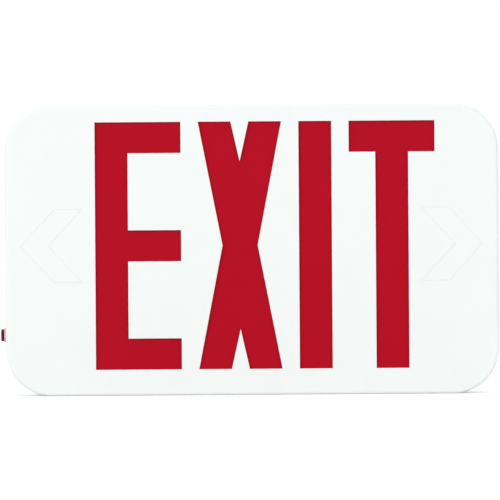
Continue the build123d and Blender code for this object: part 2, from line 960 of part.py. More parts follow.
def battery_bracket():
    """Strap folded over the pack, with a screwed foot at each end."""
    half_span = battery_h / 2 + cradle_gap
    foot_out = wall + bracket_boss_h
    over = wall + cell_d + cradle_gap
    far = bracket_screw_dz + bracket_foot / 2
    hat = Pos(0, over / 2) * Rectangle(2 * (half_span + bracket_t), over)
    hat = Pos(0, bracket_t) * hat
    hat = fillet(hat.vertices().group_by(Axis.Y)[-1], 2 * bracket_t)
    hollow = fillet(
        (Pos(0, over / 2) * Rectangle(2 * half_span, over)).vertices().group_by(Axis.Y)[-1],
        bracket_t,
    )
    profile = hat + Pos(0, foot_out + bracket_t / 2) * Rectangle(2 * far, bracket_t)
    profile -= hollow
    profile -= Pos(0, foot_out / 2) * Rectangle(4 * far, foot_out)
    plane = Plane(origin=(battery_x, 0, battery_z), x_dir=(0, 0, 1), z_dir=(1, 0, 0))
    strap = extrude(plane * profile, amount=bracket_w / 2, both=True)
    for x, z in bracket_holes():
        strap -= post(x, z, board_hole_d, foot_out, foot_out + bracket_t)
    return strap


def bracket_screws():
    seat = wall + bracket_boss_h + bracket_t
    return [pan_screw(x, z, seat) for x, z in bracket_holes()]


# Lighting strips
def led_board(side):
    z0, z1 = sorted((side * led_inner_z, side * led_z))
    half = led_board_l / 2
    return block(-half, half, led_board_out, led_board_out + led_board_w, z0, z1)


def led_row(side):
    """Surface-mounted diodes along one strip, facing the middle of the case."""
    row = []
    z_seat = side * led_inner_z
    z_face = side * (led_inner_z - led_h)
    out = led_board_out + led_board_w / 2
    for index in range(led_count):
        x = (index - (led_count - 1) / 2) * led_pitch
        z0, z1 = sorted((z_seat, z_face))
        chip = block(x - led_l / 2, x + led_l / 2, out - led_w / 2, out + led_w / 2, z0, z1)
        plane = Plane(origin=(x, -out, z_face), x_dir=(1, 0, 0), z_dir=(0, 0, -side))
        window = Rectangle(led_l - 2 * led_rim, led_w - 2 * led_rim)
        chip -= extrude(plane * window, amount=-led_window_t)
        row.append(chip)
    return row


# Leads, each a flat pair moulded side by side
def twin_lead(points, bend_radii, side_dir):
    """A flat pair of leads along straight runs joined by arcs."""
    path = FilletPolyline(*points, radius=bend_radii)
    print("lead bend radii", bend_radii, "length", round(path.length, 1))
    ahead = Vector(*points[1]) - Vector(*points[0])
    start = Plane(origin=points[0], x_dir=side_dir, z_dir=ahead)
    return sweep(start * Rectangle(lead_pitch + lead_d, lead_d), path=path)


led_lead_u = board_w - 12.5
upper_lead_v = board_h - 3.0
lower_lead_u = relay_u + 5.0
lower_lead_v = 1.8
lead_bow = 6.0
lead_on_pad = 4.0
lead_turn = 18.0


def battery_leads():
    """From the end of the pack, along the back wall and up into the plug."""
    z = battery_lead_z()
    pack_end = battery_x - battery_w / 2
    pack_out = wall + cell_d / 2
    plug_end = header_x1 + plug_proud
    route = [
        (pack_end, -pack_out, z),
        (pack_end - 9, -pack_out, z),
        (pack_end - 21, -lead_out, z),
        (plug_end + 19, -lead_out, z),
        (plug_end + 9, -header_mid, z),
        (plug_end, -header_mid, z),
    ]
    return twin_lead(route, [12, 12, 8, 8], (0, 0, 1))


def upper_led_leads():
    """From the top edge of the driver board up the back wall to the upper strip."""
    x, z = on_board(led_lead_u, upper_lead_v)
    pad_z = led_inner_z - lead_d / 2
    bow = board_front + lead_bow
    route = [
        (x, -board_front, z),
        (x, -bow, z),
        (x, -bow, z + 13),
        (x, -lead_out, z + 29),
        (x, -lead_out, pad_z - lead_turn),
        (x, -(led_board_out - 5), pad_z),
        (x, -(led_board_out + lead_on_pad), pad_z),
    ]
    return twin_lead(route, [5, 12, 12, 9, 5], (1, 0, 0))


def lower_led_leads():
    """From the bottom edge of the driver board down to the lower strip."""
    x, z = on_board(lower_lead_u, lower_lead_v)
    pad_z = -led_inner_z + lead_d / 2
    bow = board_front + lead_bow - 0.5
    route = [
        (x, -board_front, z),
        (x, -bow, z),
        (x, -bow, pad_z),
        (x, -(bow + 6), pad_z),
    ]
    return twin_lead(route, [5, 5], (1, 0, 0))


def clip_places():
    """Moulded clips on the back wall, along the lead routes."""
    x, _ = on_board(led_lead_u, 0)
    z = battery_lead_z()
    return [(x, 30.0, False), (x, 52.0, False), (12.0, z, True), (34.0, z, True)]


def save(name, shape):
    solids = shape if isinstance(shape, list) else [shape]
    body = Compound(children=[s for part in solids for s in part.solids()])
    export_step(body, f"parts/{name}.step")


os.makedirs("parts", exist_ok=True)
save("back_housing", back_housing())
save("face_cover", face_cover())
save("red_lens", red_lens())
save("button_bezel", button_bezel())
save("test_button", test_button())
save("test_switch_body", test_switch_body())
save("test_switch_plunger", test_switch_plunger())
save("charge_indicator", charge_indicator())
save("driver_board", driver_board())
save("board_screws", board_screws())
save("transformer_core", transformer_core())
save("transformer_bobbin", transformer_bobbin())
save("transformer_winding", transformer_winding())
save("electrolytic_capacitors", electrolytic_capacitors())
save("film_capacitor", boxed(film_u, film_v, film_size, film_edge))
save("transfer_relay", boxed(relay_u, relay_v, relay_size, relay_edge))
save("rectifier_diodes", rectifier_diodes())
save("resistors", resistors())
save("fuse", fuse())
save("control_chip", control_chip())
save("heat_sink", heat_sink())
save("power_transistor", power_transistor())
save("terminal_block", terminal_block())
save("terminal_screws", terminal_screws())
save("battery_header", battery_header())
save("battery_plug", battery_plug())
save("battery_pack", battery_pack())
save("battery_bracket", battery_bracket())
save("bracket_screws", bracket_screws())
save("led_board_upper", led_board(1))
save("led_board_lower", led_board(-1))
save("leds_upper", led_row(1))
save("leds_lower", led_row(-1))
save("battery_leads", battery_leads())
save("upper_led_leads", upper_led_leads())
save("lower_led_leads", lower_led_leads())
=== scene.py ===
import bpy
import bmesh
import math
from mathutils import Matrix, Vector

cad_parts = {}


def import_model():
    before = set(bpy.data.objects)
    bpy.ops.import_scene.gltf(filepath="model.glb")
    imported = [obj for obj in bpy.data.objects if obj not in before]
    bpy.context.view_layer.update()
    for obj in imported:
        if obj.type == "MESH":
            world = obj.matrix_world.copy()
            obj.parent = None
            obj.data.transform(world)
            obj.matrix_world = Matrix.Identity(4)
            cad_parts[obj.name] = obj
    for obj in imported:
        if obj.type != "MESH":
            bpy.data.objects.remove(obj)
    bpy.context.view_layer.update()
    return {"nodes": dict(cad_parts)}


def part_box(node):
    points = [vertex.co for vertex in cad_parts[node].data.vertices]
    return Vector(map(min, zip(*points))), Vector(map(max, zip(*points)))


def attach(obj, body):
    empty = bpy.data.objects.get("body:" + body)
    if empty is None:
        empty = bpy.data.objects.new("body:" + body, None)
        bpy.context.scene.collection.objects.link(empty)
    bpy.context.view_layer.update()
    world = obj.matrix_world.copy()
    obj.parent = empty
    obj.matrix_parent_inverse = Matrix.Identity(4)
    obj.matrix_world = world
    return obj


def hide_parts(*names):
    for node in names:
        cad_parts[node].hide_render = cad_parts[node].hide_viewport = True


# Wall-mounted emergency exit light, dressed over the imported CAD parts.
# Lengths below are in millimetres and become metres when a mesh is made.
# X is right as the front is seen, Z is up, the wall is at Y = 0.
# "Out" is the distance from the wall, which is -Y.

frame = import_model()
nodes = frame["nodes"]
scene = bpy.context.scene
scene.view_settings.view_transform = "Standard"
MM = 0.001

# Sizes of the case and the legend
half_w = 151.9
half_h = 89.5
depth = 45.0
corner_r = 28.0
front_edge_r = 2.0
wall = 2.5
plate_back = 43.0
skirt_back = 31.3
pry_slot_x = 70.0
pry_slot_w = 12.0
pry_slot_depth = 1.4
letter_h = 152.4
stem_w = 20.2
arm_t = 19.1
e_w = 52.9
x_w = 51.3
t_w = 52.9
letter_gap = 10.7
x_arm_w = 20.1
x_notch = 24.6
x_waist = 21.6
legend_left = -96.5
legend_mid_z = 2.7
chevron_right_x = 104.65
chevron_left_x = -104.6
chevron_w = 17.0
chevron_reach = 20.6
chevron_half_h = 22.5
letter_edge_r = 0.25
front_score_w = 0.6
front_score_depth = 0.25
back_score_w = 1.0
back_score_depth = 1.0
peg_x = 136.4
peg_z = 74.0
stake_z = 83.2
stake_xs = (-108.0, 0.0, 108.0)


def linked(name, data):
    """A new object of some data, in the scene."""
    made = bpy.data.objects.new(name, data)
    scene.collection.objects.link(made)
    return made


# Camera, at the photograph's place: view_w is the width of the picture at the front face
view_w = 307.9
camera_distance = 3000.0
camera_x = -1.2
camera_z = -0.3
camera_roll = 0.4
sensor_w = 36.0
camera_data = bpy.data.cameras.new("camera")
camera_data.sensor_width = sensor_w
camera_data.lens = sensor_w * camera_distance / view_w
camera_data.clip_start = 0.1
camera_data.clip_end = 50.0
camera = linked("camera", camera_data)
camera.location = (camera_x * MM, -(camera_distance + depth) * MM, camera_z * MM)
camera.rotation_mode = "XYZ"
camera.rotation_euler = (math.radians(90), math.radians(camera_roll), 0)
scene.camera = camera


# Material helpers
def empty_tree(owner):
    """The node tree of a material or world, emptied."""
    owner.use_nodes = True
    owner.node_tree.nodes.clear()
    return owner.node_tree


def new_material(name):
    """A material with a fresh shader; returns the material, its node tree and the shader."""
    made = bpy.data.materials.new(name)
    tree = empty_tree(made)
    output = tree.nodes.new("ShaderNodeOutputMaterial")
    shader = tree.nodes.new("ShaderNodeBsdfPrincipled")
    tree.links.new(shader.outputs["BSDF"], output.inputs["Surface"])
    return made, tree, shader


def place(tree):
    """Object coordinates, which are the shared frame in metres."""
    return tree.nodes.new("ShaderNodeTexCoord").outputs["Object"]


def noise(tree, coords, scale, detail=2.0, roughness=0.5):
    """Smooth noise from 0 to 1."""
    node = tree.nodes.new("ShaderNodeTexNoise")
    node.inputs["Scale"].default_value = scale
    node.inputs["Detail"].default_value = detail
    node.inputs["Roughness"].default_value = roughness
    tree.links.new(coords, node.inputs["Vector"])
    return node.outputs["Fac"]


def stretched(tree, coords, scale):
    """Coordinates scaled differently along X, Y and Z."""
    node = tree.nodes.new("ShaderNodeMapping")
    node.inputs["Scale"].default_value = scale
    tree.links.new(coords, node.inputs["Vector"])
    return node.outputs["Vector"]


def ramp(tree, value, stops):
    """A colour ramp; stops are (position, colour) pairs."""
    node = tree.nodes.new("ShaderNodeValToRGB")
    elements = node.color_ramp.elements
    while len(elements) < len(stops):
        elements.new(0.5)
    for element, (position, colour) in zip(elements, stops):
        element.position = position
        element.color = (*colour, 1.0)
    tree.links.new(value, node.inputs["Fac"])
    return node.outputs["Color"]


def spread(tree, value, low, high):
    """Maps a 0 to 1 value onto a range."""
    node = tree.nodes.new("ShaderNodeMapRange")
    node.inputs["To Min"].default_value = low
    node.inputs["To Max"].default_value = high
    tree.links.new(value, node.inputs["Value"])
    return node.outputs["Result"]


def bump(tree, shader, height, strength, distance, under=None):
    """Raises the surface by a height, over the normal under it."""
    node = tree.nodes.new("ShaderNodeBump")
    node.inputs["Strength"].default_value = strength
    node.inputs["Distance"].default_value = distance
    tree.links.new(height, node.inputs["Height"])
    if under is not None:
        tree.links.new(under, node.inputs["Normal"])
    tree.links.new(node.outputs["Normal"], shader.inputs["Normal"])


def soft_edges(tree, radius):
    """Rounds the look of hard edges by a small radius."""
    node = tree.nodes.new("ShaderNodeBevel")
    node.samples = 4
    node.inputs["Radius"].default_value = radius
    return node.outputs["Normal"]


def tint(colour, factor):
    """A colour made paler or darker by a factor."""
    return tuple(min(1.0, channel * factor) for channel in colour)


def surface(tree, shader, drift, stops, gloss, low, high):
    """Colours the surface by one value and sets its roughness by another."""
    tree.links.new(ramp(tree, drift, stops), shader.inputs["Base Color"])
    tree.links.new(spread(tree, gloss, low, high), shader.inputs["Roughness"])


def plastic(name, colour, rough, grain=1800.0, depth_m=0.00002, vary=0.03,
            specular=0.5, edge=0.0002):
    """Moulded plastic: slight colour drift, uneven gloss and a fine moulded grain."""
    made, tree, shader = new_material(name)
    coords = place(tree)
    drift = noise(tree, coords, 45.0, 3.0)
    colours = [(0.3, tint(colour, 1 - vary)), (0.7, tint(colour, 1 + vary / 2))]
    gloss = noise(tree, coords, 260.0, 3.0)
    surface(tree, shader, drift, colours, gloss, rough - 0.06, rough + 0.06)
    shader.inputs["Specular IOR Level"].default_value = specular
    fine = noise(tree, coords, grain, 2.0, 0.6)
    under = soft_edges(tree, edge) if edge else None
    bump(tree, shader, fine, 0.35, depth_m, under)
    return made


def metal(name, colour, rough, stretch=(1.0, 1.0, 1.0)):
    """Metal with drawn or rolled lines along one direction."""
    made, tree, shader = new_material(name)
    coords = stretched(tree, place(tree), stretch)
    lines = noise(tree, coords, 900.0, 4.0, 0.6)
    colours = [(0.25, tint(colour, 0.86)), (0.75, tint(colour, 1.06))]
    surface(tree, shader, lines, colours, lines, rough - 0.08, rough + 0.1)
    shader.inputs["Metallic"].default_value = 1.0
    bump(tree, shader, lines, 0.25, 0.00001, soft_edges(tree, 0.00015))
    return made


def dress(node, material):
    """Gives a CAD node one material all over."""
    mesh = nodes[node].data
    mesh.materials.clear()
    mesh.materials.append(material)


# Materials
case_white = (0.905, 0.948, 0.932)
mat_case = plastic("case_white", case_white, 0.42, 2600.0, 0.000012, 0.008, 0.3)
mat_button = plastic("button_red", (0.105, 0.004, 0.011), 0.34, 1500.0, 0.00001, 0.05, 0.12)
mat_bezel = plastic("bezel_pale", (0.72, 0.46, 0.50), 0.4, 1500.0, 0.00001, 0.03, 0.3)
mat_black = plastic("black_plastic", (0.02, 0.02, 0.022), 0.45, 1500.0)
mat_nylon = plastic("connector_nylon", (0.76, 0.73, 0.62), 0.38, 1200.0, 0.00002, 0.04)
mat_terminal = plastic("terminal_green", (0.025, 0.19, 0.055), 0.4, 1500.0)
mat_relay = plastic("relay_case", (0.012, 0.035, 0.14), 0.3, 1500.0)
mat_film = plastic("film_case", (0.42, 0.10, 0.012), 0.22, 700.0, 0.00005)
mat_chip = plastic("chip_body", (0.013, 0.013, 0.015), 0.55, 2600.0, 0.00003)
mat_diode = plastic("diode_body", (0.014, 0.014, 0.016), 0.35, 1500.0)
mat_fuse = plastic("fuse_body", (0.03, 0.12, 0.05), 0.3, 900.0, 0.00004)
mat_resistor = plastic("resistor_body", (0.55, 0.36, 0.18), 0.35, 900.0, 0.00004)
mat_sleeve = plastic("capacitor_sleeve", (0.012, 0.018, 0.05), 0.28, 600.0, 0.00003)
mat_lead_red = plastic("lead_red", (0.42, 0.012, 0.012), 0.3, 900.0, 0.00002, 0.05, 0.5, 0)
mat_lead_black = plastic("lead_black", (0.015, 0.015, 0.016), 0.3, 900.0, 0.00002, 0.05, 0.5, 0)
mat_strip = plastic("strip_white", (0.82, 0.84, 0.82), 0.25, 1200.0, 0.00001, 0.02)
mat_package = plastic("led_package", (0.86, 0.84, 0.78), 0.35, 1200.0, 0.00001, 0.02)
mat_silk = plastic("silk_print", (0.80, 0.81, 0.79), 0.5, 1200.0, 0.00001, 0.02, 0.3, 0)
mat_steel = metal("screw_steel", (0.56, 0.57, 0.58), 0.3)
mat_bracket = metal("bracket_steel", (0.60, 0.61, 0.62), 0.34, (12.0, 1.0, 1.0))
mat_sink = metal("sink_aluminium", (0.66, 0.67, 0.69), 0.36, (1.0, 14.0, 1.0))
mat_tin = metal("tinned_leads", (0.66, 0.66, 0.66), 0.28)
mat_brass = metal("terminal_brass", (0.50, 0.38, 0.16), 0.3)


def lens_material():
    """Red sheet with a very fine pebble on its face, and hardly any mirror."""
    made, tree, shader = new_material("lens_red")
    coords = place(tree)
    red = (0.460, 0.0030, 0.0160)
    drift = noise(tree, coords, 30.0, 2.0)
    colours = [(0.35, tint(red, 0.985)), (0.65, tint(red, 1.015))]
    shader.inputs["Specular IOR Level"].default_value = 0.06
    fine = noise(tree, coords, 900.0, 2.0)
    surface(tree, shader, drift, colours, fine, 0.42, 0.55)
    bump(tree, shader, fine, 0.3, 0.00002)
    return made


def board_material():
    """Green solder mask over copper tracks, which show through a shade paler."""
    made, tree, shader = new_material("board_green")
    coords = place(tree)
    cells = tree.nodes.new("ShaderNodeTexVoronoi")
    cells.feature = "F1"
    cells.distance = "MANHATTAN"
    cells.inputs["Scale"].default_value = 190.0
    cells.inputs["Randomness"].default_value = 0.55
    flat = stretched(tree, coords, (1.0, 0.0, 1.0))
    tree.links.new(flat, cells.inputs["Vector"])
    rings = tree.nodes.new("ShaderNodeMath")
    rings.operation = "PINGPONG"
    rings.inputs[1].default_value = 0.16
    tree.links.new(cells.outputs["Distance"], rings.inputs[0])
    mask = (0.010, 0.105, 0.036)
    track = (0.022, 0.19, 0.060)
    stops = [(0.085, mask), (0.105, track)]
    surface(tree, shader, rings.outputs[0], stops, noise(tree, coords, 400.0), 0.2, 0.32)
    step = ramp(tree, rings.outputs[0], [(0.08, (0, 0, 0)), (0.11, (1, 1, 1))])
    bump(tree, shader, step, 0.5, 0.00003)
    return made


def lamination_material():
    """Stacked steel sheets, 0.5 mm each, with varnish."""
    made, tree, shader = new_material("core_steel")
    coords = place(tree)
    sheets = tree.nodes.new("ShaderNodeTexWave")
    sheets.wave_type = "BANDS"
    sheets.bands_direction = "Y"
    sheets.inputs["Scale"].default_value = 630.0
    sheets.inputs["Distortion"].default_value = 0.4
    tree.links.new(coords, sheets.inputs["Vector"])
    steel = [(0.1, (0.05, 0.052, 0.058)), (0.6, (0.17, 0.175, 0.185))]
    surface(tree, shader, sheets.outputs["Fac"], steel, noise(tree, coords, 350.0, 4.0), 0.3, 0.55)
    shader.inputs["Metallic"].default_value = 0.8
    bump(tree, shader, sheets.outputs["Fac"], 0.6, 0.0001)
    return made


def tape_material():
    """Yellow polyester tape round the winding, its turns showing as low steps."""
    made, tree, shader = new_material("winding_tape")
    coords = place(tree)
    drift = noise(tree, coords, 160.0, 4.0)
    yellow = [(0.3, (0.62, 0.36, 0.03)), (0.7, (0.78, 0.50, 0.06))]
    surface(tree, shader, drift, yellow, drift, 0.18, 0.34)
    turns = tree.nodes.new("ShaderNodeTexWave")
    turns.bands_direction = "Z"
    turns.wave_profile = "SAW"
    turns.inputs["Scale"].default_value = 75.0
    turns.inputs["Distortion"].default_value = 1.2
    tree.links.new(coords, turns.inputs["Vector"])
    shader.inputs["Coat Weight"].default_value = 0.4
    bump(tree, shader, turns.outputs["Fac"], 0.5, 0.00008)
    return made


def battery_material():
    """Blue shrink sleeve, pulled into faint creases along the cells."""
    made, tree, shader = new_material("battery_sleeve")
    coords = place(tree)
    blue = [(0.3, (0.010, 0.075, 0.26)), (0.7, (0.014, 0.10, 0.33))]
    long_way = stretched(tree, coords, (0.25, 1.0, 1.0))
    creases = noise(tree, long_way, 420.0, 5.0, 0.6)
    surface(tree, shader, noise(tree, coords, 60.0, 3.0), blue, creases, 0.16, 0.3)
    bump(tree, shader, creases, 0.55, 0.00018)
    return made


def phosphor_material():
    """Yellow silicone over the diode chip."""
    made, tree, shader = new_material("phosphor")
    spots = noise(tree, place(tree), 2500.0, 2.0)
    yellow = [(0.3, (0.72, 0.46, 0.06)), (0.7, (0.82, 0.60, 0.12))]
    surface(tree, shader, spots, yellow, spots, 0.12, 0.24)
    return made


def indicator_material():
    """Clear-red light pipe."""
    made, tree, shader = new_material("indicator_clear")
    swirl = noise(tree, place(tree), 500.0, 2.0)
    red = [(0.3, (0.50, 0.03, 0.02)), (0.7, (0.62, 0.05, 0.03))]
    surface(tree, shader, swirl, red, swirl, 0.08, 0.16)
    shader.inputs["Transmission Weight"].default_value = 0.3
    return made


mat_lens = lens_material()
mat_board = board_material()
mat_core = lamination_material()
mat_tape = tape_material()
mat_battery = battery_material()
mat_phosphor = phosphor_material()
mat_indicator = indicator_material()

dressing = {
    "back_housing": mat_case,
    "face_cover": mat_case,
    "red_lens": mat_lens,
    "test_button": mat_button,
    "button_bezel": mat_bezel,
    "test_switch_body": mat_black,
    "test_switch_plunger": mat_black,
    "charge_indicator": mat_indicator,
    "driver_board": mat_board,
    "board_screws": mat_steel,
    "bracket_screws": mat_steel,
    "transformer_core": mat_core,
    "transformer_bobbin": mat_black,
    "transformer_winding": mat_tape,
    "electrolytic_capacitors": mat_sleeve,
    "film_capacitor": mat_film,
    "transfer_relay": mat_relay,
    "rectifier_diodes": mat_diode,
    "resistors": mat_resistor,
    "fuse": mat_fuse,
    "control_chip": mat_chip,
    "heat_sink": mat_sink,
    "power_transistor": mat_chip,
    "terminal_block": mat_terminal,
    "terminal_screws": mat_brass,
    "battery_header": mat_nylon,
    "battery_plug": mat_nylon,
    "battery_pack": mat_battery,
    "battery_bracket": mat_bracket,
    "led_board_upper": mat_strip,
    "led_board_lower": mat_strip,
    "leds_upper": mat_package,
    "leds_lower": mat_package,
    "battery_leads": mat_lead_black,
    "upper_led_leads": mat_lead_red,
    "lower_led_leads": mat_lead_red,
}
for node_name, node_material in dressing.items():
    dress(node_name, node_material)


# Mesh helpers
merge_gap = 0.0000005


def at(x, out, z):
    """A point given across, out from the wall and up, in metres."""
    return Vector((x * MM, -out * MM, z * MM))


def finish_mesh(name, bm, material, body, angle=35.0):
    """Makes the piece, smooth except at sharp edges, and rides it on a body."""
    bmesh.ops.remove_doubles(bm, verts=bm.verts, dist=merge_gap)
    bmesh.ops.dissolve_degenerate(bm, edges=bm.edges, dist=merge_gap)
    bmesh.ops.recalc_face_normals(bm, faces=bm.faces)
    mesh = bpy.data.meshes.new(name)
    bm.to_mesh(mesh)
    bm.free()
    materials = material if isinstance(material, list) else [material]
    for each in materials:
        mesh.materials.append(each)
    mesh.shade_smooth()
    mesh.set_sharp_from_angle(angle=math.radians(angle))
    made = linked(name, mesh)
    weighted = made.modifiers.new("even_normals", "WEIGHTED_NORMAL")
    weighted.keep_sharp = True
    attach(made, body)
    return made


def ring(bm, points):
    """Vertices for a closed loop of points."""
    return [bm.verts.new(point) for point in points]


def bridge(bm, first, second):
    """Quads between two closed loops with as many vertices each."""
    count = len(first)
    made = []
    for index in range(count):
        after = (index + 1) % count
        made.append(bm.faces.new((first[index], first[after], second[after], second[index])))
    return made


def skin(bm, loops):
    """Bridges each loop to the next; returns a list of faces for each band."""
    return [bridge(bm, first, second) for first, second in zip(loops, loops[1:])]


def circle(x, y, r, count):
    """Points evenly round a circle about (x, y)."""
    turns = [2 * math.pi * step / count for step in range(count)]
    return [(x + r * math.cos(turn), y + r * math.sin(turn)) for turn in turns]


def fill_plane(bm, loops, normal):
    """Fills the area inside the first loop and outside the others, across a normal."""
    edges = []
    for loop in loops:
        count = len(loop)
        for index in range(count):
            pair = (loop[index], loop[(index + 1) % count])
            edges.append(bm.edges.get(pair) or bm.edges.new(pair))
    bmesh.ops.triangle_fill(bm, use_beauty=True, edges=edges, normal=normal)


def fill(bm, loops):
    """Fills an area that faces the front."""
    fill_plane(bm, loops, (0, -1, 0))


def offset_outline(points, amount):
    """Moves each side of a counterclockwise outline outwards by an amount, with mitred corners."""
    moved = []
    count = len(points)
    for index in range(count):
        px, pz = points[index - 1]
        x, z = points[index]
        nx, nz = points[(index + 1) % count]
        ax, az = x - px, z - pz
        bx, bz = nx - x, nz - z
        a_len = math.hypot(ax, az)
        b_len = math.hypot(bx, bz)
        na = (az / a_len, -ax / a_len)
        nb = (bz / b_len, -bx / b_len)
        mix = 1 + na[0] * nb[0] + na[1] * nb[1]
        moved.append((x + amount * (na[0] + nb[0]) / mix, z + amount * (na[1] + nb[1]) / mix))
    return moved


def turned(base, radius, turn, out):
    """A point at a radius and turn round an axis that points out from a base point."""
    return base + at(radius * math.cos(turn), out, radius * math.sin(turn))


def lathe(bm, profile, base, steps=28, second_from=None):
    """Turns a (radius, out) profile round an axis that points out from a base point.

    Bands from second_from on, and the last cap, get the second material.
    """
    turns = [2 * math.pi * step / steps for step in range(steps)]
    loops = [ring(bm, [turned(base, radius, turn, out) for turn in turns]) for radius, out in profile]
    bands = skin(bm, loops)
    bm.faces.new(loops[0])
    bands.append([bm.faces.new(loops[-1])])
    if second_from is not None:
        for band in bands[second_from:]:
            for face in band:
                face.material_index = 1


# Outlines of the case and the legend
corner_steps = 20
pry_marks = []
for slot_side in (-1, 1):
    for slot_end, cut in ((-1, 0), (-1, 1), (1, 1), (1, 0)):
        pry_marks.append((slot_side * pry_slot_x + slot_end * pry_slot_w / 2, cut))


def case_outline(inset):
    """(x, z, notch) round the case; notch is 1 where a pry slot is cut in the bottom edge."""
    w = half_w - inset
    h = half_h - inset
    r = corner_r - inset
    points = []
    corners = [(w - r, h - r, 0), (r - w, h - r, 90), (r - w, r - h, 180), (w - r, r - h, 270)]
    for cx, cz, start in corners:
        for step in range(corner_steps + 1):
            a = math.radians(start + 90 * step / corner_steps)
            points.append((cx + r * math.cos(a), cz + r * math.sin(a), 0))
        if start == 180:
            points.extend((x, -h, notch) for x, notch in pry_marks)
    return points


# Letters, each an outline counterclockwise from its left edge x0
def letter_e(x0):
    top = letter_h / 2
    gap_top = top - arm_t
    mid = arm_t / 2
    right = x0 + e_w
    stem = x0 + stem_w
    return [
        (x0, -top),
        (right, -top),
        (right, -gap_top),
        (stem, -gap_top),
        (stem, -mid),
        (right, -mid),
        (right, mid),
        (stem, mid),
        (stem, gap_top),
        (right, gap_top),
        (right, top),
        (x0, top),
    ]


def letter_x(x0):
    top = letter_h / 2
    half = x_w / 2
    inner = half - x_arm_w
    waist = x_waist / 2
    cx = x0 + half
    return [
        (cx - half, -top),
        (cx - inner, -top),
        (cx, x_notch - top),
        (cx + inner, -top),
        (cx + half, -top),
        (cx + waist, 0),
        (cx + half, top),
        (cx + inner, top),
        (cx, top - x_notch),
        (cx - inner, top),
        (cx - half, top),
        (cx - waist, 0),
    ]


def letter_i(x0):
    top = letter_h / 2
    return [(x0, -top), (x0 + stem_w, -top), (x0 + stem_w, top), (x0, top)]


def letter_t(x0):
    top = letter_h / 2
    left = x0 + (t_w - stem_w) / 2
    right = left + stem_w
    return [
        (left, -top),
        (right, -top),
        (right, top - arm_t),
        (x0 + t_w, top - arm_t),
        (x0 + t_w, top),
        (x0, top),
        (x0, top - arm_t),
        (left, top - arm_t),
    ]


def legend():
    """The outlines of the four letters, in their places."""
    x_left = legend_left + e_w + letter_gap
    i_left = x_left + x_w + letter_gap
    t_left = i_left + stem_w + letter_gap
    letters = [letter_e(legend_left), letter_x(x_left), letter_i(i_left), letter_t(t_left)]
    return [[(x, z + legend_mid_z) for x, z in letter] for letter in letters]


def chevron(side):
    """The outline of a direction knock-out, pointing to its own side."""
    root = chevron_right_x if side > 0 else chevron_left_x
    tip = root + side * chevron_w
    top = chevron_half_h
    points = [
        (root, -top),
        (tip, -top),
        (tip + side * chevron_reach, 0),
        (tip, top),
        (root, top),
        (root + side * chevron_reach, 0),
    ]
    points = [(x, z + legend_mid_z) for x, z in points]
    return points if side > 0 else points[::-1]


# Front cover: rounded front, cut letters with moulded edges, scored knock-outs
def cover_sections():
    """(inset, out, follows the pry slots) from the front face round to the inside."""
    sections = []
    arc_steps = 12
    for step in range(arc_steps + 1):
        a = math.radians(90 * step / arc_steps)
        inset = front_edge_r * (1 - math.sin(a))
        out = depth - front_edge_r * (1 - math.cos(a))
        sections.append((inset, out, 0))
    edge = 0.3
    sections.append((0.0, skirt_back + edge, 1))
    sections.append((edge * 0.3, skirt_back + edge * 0.3, 1))
    sections.append((edge, skirt_back, 1))
    sections.append((wall - 0.2, skirt_back, 1))
    sections.append((wall, skirt_back + 0.2, 1))
    sections.append((wall, plate_back - 0.6, 0))
    sections.append((wall + 0.15, plate_back - 0.15, 0))
    sections.append((wall + 0.6, plate_back, 0))
    return sections


def groove(bm, points, width, level, bottom):
    """A score line: returns its outer and inner loops at the surface."""
    loops = []
    for share, out in ((0.5, level), (0.15, bottom), (-0.15, bottom), (-0.5, level)):
        loops.append(ring(bm, [at(x, out, z) for x, z in offset_outline(points, width * share)]))
    skin(bm, loops)
    return loops[0], loops[-1]


def front_cover():
    """Plate and skirt in one closed mesh."""
    bm = bmesh.new()
    loops = []
    for inset, out, follows in cover_sections():
        points = []
        for x, z, notch in case_outline(inset):
            lift = pry_slot_depth if follows and notch else 0
            points.append(at(x, out + lift, z))
        loops.append(ring(bm, points))
    skin(bm, loops)
    bmesh.ops.remove_doubles(bm, verts=loops[0] + loops[-1], dist=merge_gap)
    front_edge = [v for v in loops[0] if v.is_valid]
    back_edge = [v for v in loops[-1] if v.is_valid]
    front_holes = []
    back_holes = []
    for letter in legend():
        rings = []
        for step in range(4):
            a = math.radians(90 * step / 3)
            grown = offset_outline(letter, letter_edge_r * (1 - math.sin(a)))
            out = depth - letter_edge_r * (1 - math.cos(a))
            rings.append(ring(bm, [at(x, out, z) for x, z in grown]))
        rings.append(ring(bm, [at(x, plate_back, z) for x, z in letter]))
        skin(bm, rings)
        front_holes.append(rings[0])
        back_holes.append(rings[-1])
    for side in (1, -1):
        outline = chevron(side)
        outer, inner = groove(bm, outline, front_score_w, depth, depth - front_score_depth)
        front_holes.append(outer)
        fill(bm, [inner])
        outer, inner = groove(bm, outline, back_score_w, plate_back, plate_back + back_score_depth)
        back_holes.append(outer)
        fill(bm, [inner])
    fill(bm, [front_edge] + front_holes)
    fill(bm, [back_edge] + back_holes)
    cover = finish_mesh("front_cover", bm, mat_case, "front")
    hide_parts("face_cover")


